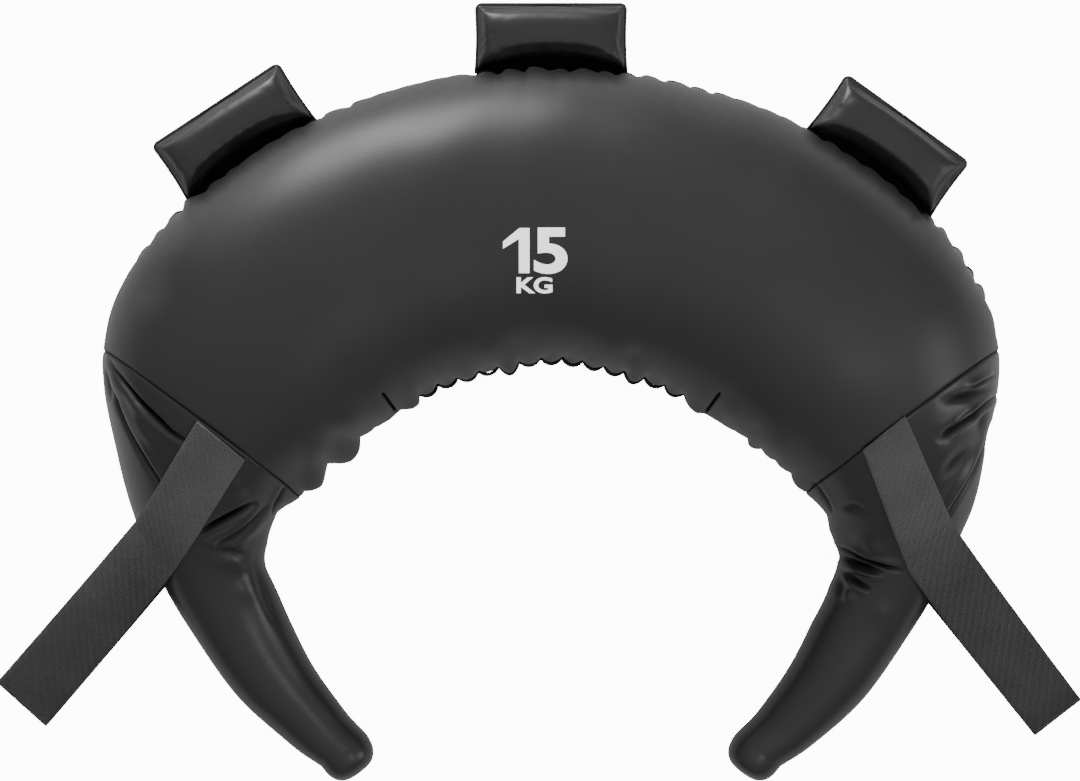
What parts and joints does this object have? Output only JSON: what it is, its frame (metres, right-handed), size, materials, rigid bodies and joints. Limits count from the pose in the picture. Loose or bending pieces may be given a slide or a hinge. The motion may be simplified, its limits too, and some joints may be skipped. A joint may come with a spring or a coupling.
{
  "type": "bulgarian bag",
  "caption": "Crescent-shaped filled training bag of artificial leather with tapered horns, padded handles on its crown, a laced opening and webbing strap loops.",
  "frame": {"origin": "middle of the flat patch under the crown that the bag rests on", "axes": "+X across the bag to the right as seen from the front, +Y from the horns towards the crown, +Z out of the front, up as it lies"},
  "size_m": [0.8519, 0.5954, 0.1787],
  "materials": {
    "leather": "black artificial leather with a soft gloss",
    "cover": "black artificial leather, a little glossier",
    "webbing": "dark twill webbing, matte",
    "lace": "black round cord",
    "stuffing": "wool stuffing",
    "sandbag": "cotton sand bag",
    "foam": "grey foam",
    "rope": "natural rope"
  },
  "bodies": {
    "bag": {"front_panel": "leather", "rear_panel": "leather", "left_horn_front": "cover", "left_horn_rear": "cover", "right_horn_front": "cover", "right_horn_rear": "cover", "front_facing": "webbing", "rear_facing": "webbing", "closure_lace": "lace", "front_filling": "stuffing", "rear_filling": "stuffing", "left_horn_core": "stuffing", "right_horn_core": "stuffing", "sand_bag_left": "sandbag", "sand_bag_middle": "sandbag", "sand_bag_right": "sandbag", "handle_left_tab": "webbing", "handle_top_tab": "webbing", "handle_right_tab": "webbing", "strap_left_band": "webbing", "strap_right_band": "webbing"},
    "handle_left": {"handle_left_cover": "leather", "handle_left_foam": "foam", "handle_left_rope": "rope"},
    "handle_top": {"handle_top_cover": "leather", "handle_top_foam": "foam", "handle_top_rope": "rope"},
    "handle_right": {"handle_right_cover": "leather", "handle_right_foam": "foam", "handle_right_rope": "rope"},
    "strap_left": {"strap_left_loop": "webbing"},
    "strap_right": {"strap_right_loop": "webbing"}
  },
  "joints": [
    {"name": "handle_left_hinge", "type": "hinge", "parent": "bag", "child": "handle_left", "pos_m": [-0.23117, 0.04804, 0.08411], "axis": [0.8368, 0.5475, 0], "range_deg": [-50, 50], "stiffness_Nm_per_rad": 1.5},
    {"name": "handle_top_hinge", "type": "hinge", "parent": "bag", "child": "handle_top", "pos_m": [0, 0.1167, 0.084], "axis": [1, 0, 0], "range_deg": [-50, 50], "stiffness_Nm_per_rad": 1.5},
    {"name": "handle_right_hinge", "type": "hinge", "parent": "bag", "child": "handle_right", "pos_m": [0.24456, 0.03891, 0.084], "axis": [0.8142, -0.5806, 0], "range_deg": [-50, 50], "stiffness_Nm_per_rad": 1.5},
    {"name": "strap_left_hinge", "type": "hinge", "parent": "bag", "child": "strap_left", "pos_m": [-0.31628, -0.26249, 0.04989], "axis": [-0.3783, 0.9101, 0.1689], "range_deg": [-30, 100]},
    {"name": "strap_right_hinge", "type": "hinge", "parent": "bag", "child": "strap_right", "pos_m": [0.30821, -0.2816, 0.04664], "axis": [-0.425, -0.8916, -0.1564], "range_deg": [-30, 100]}
  ]
}
